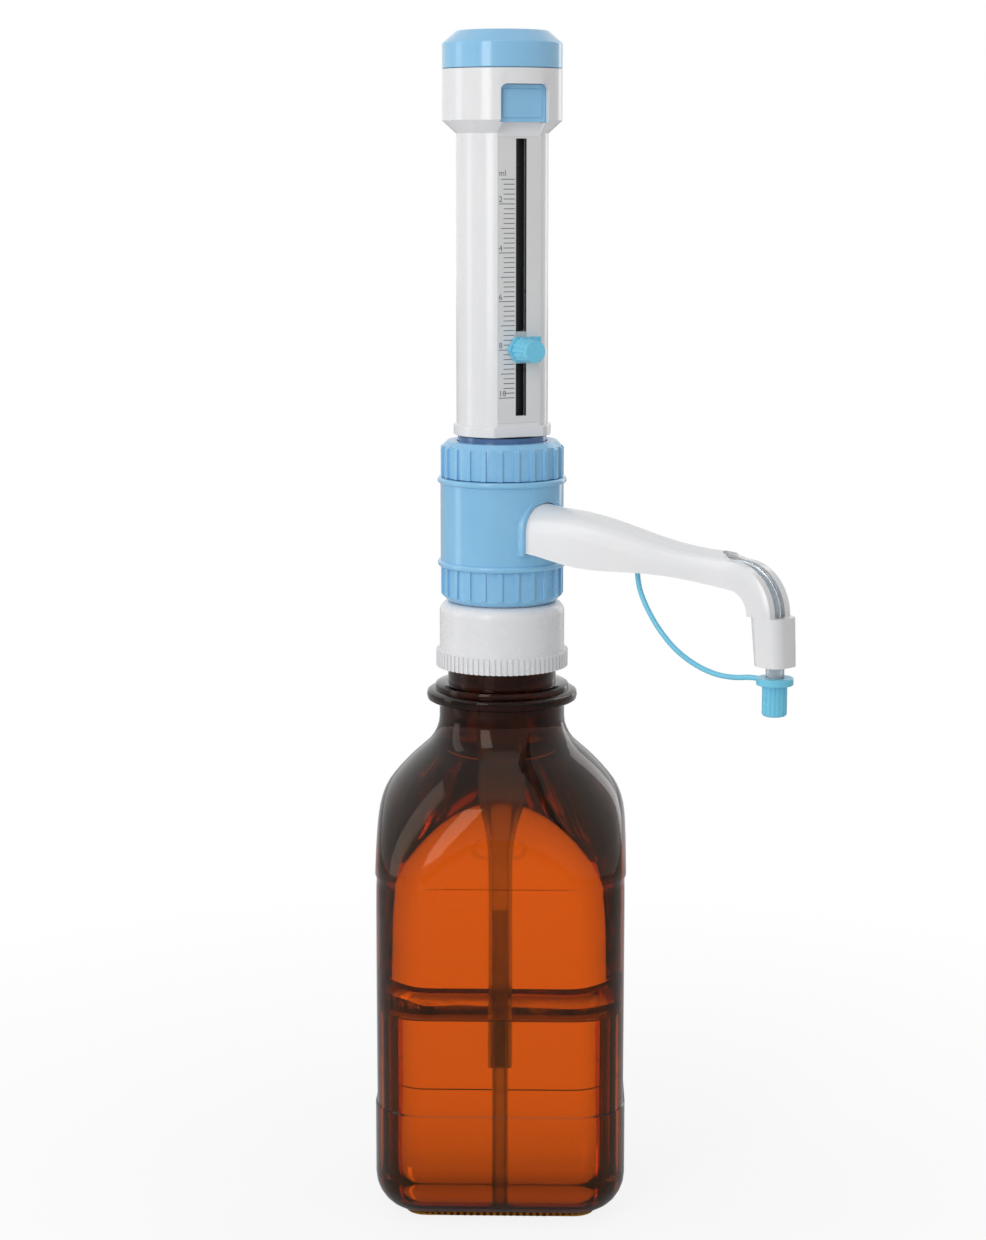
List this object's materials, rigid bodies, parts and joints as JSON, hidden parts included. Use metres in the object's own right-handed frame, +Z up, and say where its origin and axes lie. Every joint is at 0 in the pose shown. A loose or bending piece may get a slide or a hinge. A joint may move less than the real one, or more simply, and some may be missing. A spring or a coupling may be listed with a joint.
{
  "type": "bottle-top dispenser",
  "caption": "Piston dispenser on a square amber glass bottle, with a sliding volume scale, ribbed nuts, a bent discharge arm and a tethered tip cap.",
  "frame": {"origin": "centre of the bottle's foot, on the bench", "axes": "+Z up along the piston and the bottle, +X along the discharge arm to its nozzle"},
  "size_m": [0.205, 0.122, 0.458],
  "materials": {
    "amber_glass": "clear brown bottle glass, glossy",
    "clear_glass": "clear borosilicate glass, polished",
    "white_plastic": "opaque white, glossy moulded",
    "adapter_white": "white screw adapter, satin gloss",
    "blue_plastic": "light blue, glossy moulded",
    "blue_nut": "light blue, glossy, ribbed",
    "sky_plastic": "brighter sky blue, soft gloss",
    "scale_white": "white scale strip, satin",
    "slider_grey": "light grey slider",
    "guide_grey": "dark grey guide sleeve",
    "rest_blue": "dark translucent blue ring",
    "clear_tube": "clear fluoropolymer tube",
    "nozzle_clear": "milky clear nozzle",
    "fluoropolymer": "natural white fluoropolymer",
    "seal_rubber": "black seal",
    "stud_steel": "turned steel"
  },
  "bodies": {
    "bottle": {"bottle": "amber_glass", "bottle_adapter": "adapter_white", "bottle_seal": "seal_rubber"},
    "mounting_nut": {"mounting_nut": "blue_nut"},
    "valve_block": {"valve_block": "blue_plastic", "filling_valve": "fluoropolymer", "filling_tube": "clear_tube", "discharge_valve": "fluoropolymer", "discharge_valve_plug": "fluoropolymer", "outlet_nipple": "fluoropolymer", "discharge_arm": "white_plastic", "discharge_tube": "clear_tube", "nozzle": "nozzle_clear", "strap_anchor": "sky_plastic", "cylinder_glass": "clear_glass", "cylinder_seal": "fluoropolymer", "guide_sleeve": "guide_grey", "stop_collar": "guide_grey", "plunger_rest": "rest_blue"},
    "cylinder_nut": {"cylinder_nut": "blue_nut"},
    "plunger": {"plunger_sleeve": "white_plastic", "sleeve_ring": "white_plastic", "scale_strip": "scale_white", "plunger_head": "white_plastic", "top_cap": "blue_plastic", "piston_rod": "fluoropolymer", "piston": "fluoropolymer", "piston_seals": "fluoropolymer"},
    "calibration_nut": {"calibration_nut": "slider_grey"},
    "calibration_cover": {"calibration_cover": "blue_plastic"},
    "volume_pointer": {"slider_block": "slider_grey", "pointer_plate": "sky_plastic", "clamp_plate": "slider_grey"},
    "thumb_knob": {"thumb_knob": "sky_plastic", "clamp_stud": "stud_steel"},
    "tip_cap": {"tip_cap": "sky_plastic", "cap_strap": "sky_plastic"},
    "suction_tube": {"suction_tube": "clear_tube"},
    "filling_ball": {"filling_ball": "clear_glass"},
    "discharge_ball": {"discharge_ball": "clear_glass"}
  },
  "joints": [
    {"name": "block_swivel", "type": "hinge", "parent": "bottle", "child": "valve_block", "pos_m": [0, 0, 0.2476], "axis": [0, 0, 1], "continuous": true},
    {"name": "mounting_nut_turn", "type": "hinge", "parent": "bottle", "child": "mounting_nut", "pos_m": [0, 0, 0.2476], "axis": [0, 0, 1], "range_deg": [0, 300]},
    {"name": "cylinder_nut_turn", "type": "hinge", "parent": "valve_block", "child": "cylinder_nut", "pos_m": [0, 0, 0.295], "axis": [0, 0, 1], "range_deg": [0, 300]},
    {"name": "plunger_lift", "type": "slide", "parent": "valve_block", "child": "plunger", "axis": [0, 0, 1], "range_m": [0, 0.07312]},
    {"name": "calibration_turn", "type": "hinge", "parent": "plunger", "child": "calibration_nut", "pos_m": [0, 0, 0.43], "axis": [0, 0, 1], "continuous": true},
    {"name": "calibration_cover_pull", "type": "slide", "parent": "plunger", "child": "calibration_cover", "axis": [0.9336, -0.3584, 0], "range_m": [0, 0.009]},
    {"name": "volume_set", "type": "slide", "parent": "plunger", "child": "volume_pointer", "axis": [0, 0, 1], "range_m": [-0.01828, 0.06398]},
    {"name": "clamp_knob_turn", "type": "hinge", "parent": "volume_pointer", "child": "thumb_knob", "pos_m": [0.01903, -0.00623, 0.33859], "axis": [0.9336, -0.3584, 0], "range_deg": [0, 270]},
    {"name": "tip_cap_pull", "type": "slide", "parent": "valve_block", "child": "tip_cap", "axis": [0, 0, -1], "range_m": [0, 0.012], "deforming": ["cap_strap"]},
    {"name": "suction_tube_slide", "type": "slide", "parent": "valve_block", "child": "suction_tube", "axis": [0, 0, 1], "range_m": [0, 0.043]},
    {"name": "filling_ball_lift", "type": "slide", "parent": "valve_block", "child": "filling_ball", "axis": [0, 0, 1], "range_m": [0, 0.001]},
    {"name": "discharge_ball_lift", "type": "slide", "parent": "valve_block", "child": "discharge_ball", "axis": [0, 0, 1], "range_m": [0, 0.001]}
  ]
}
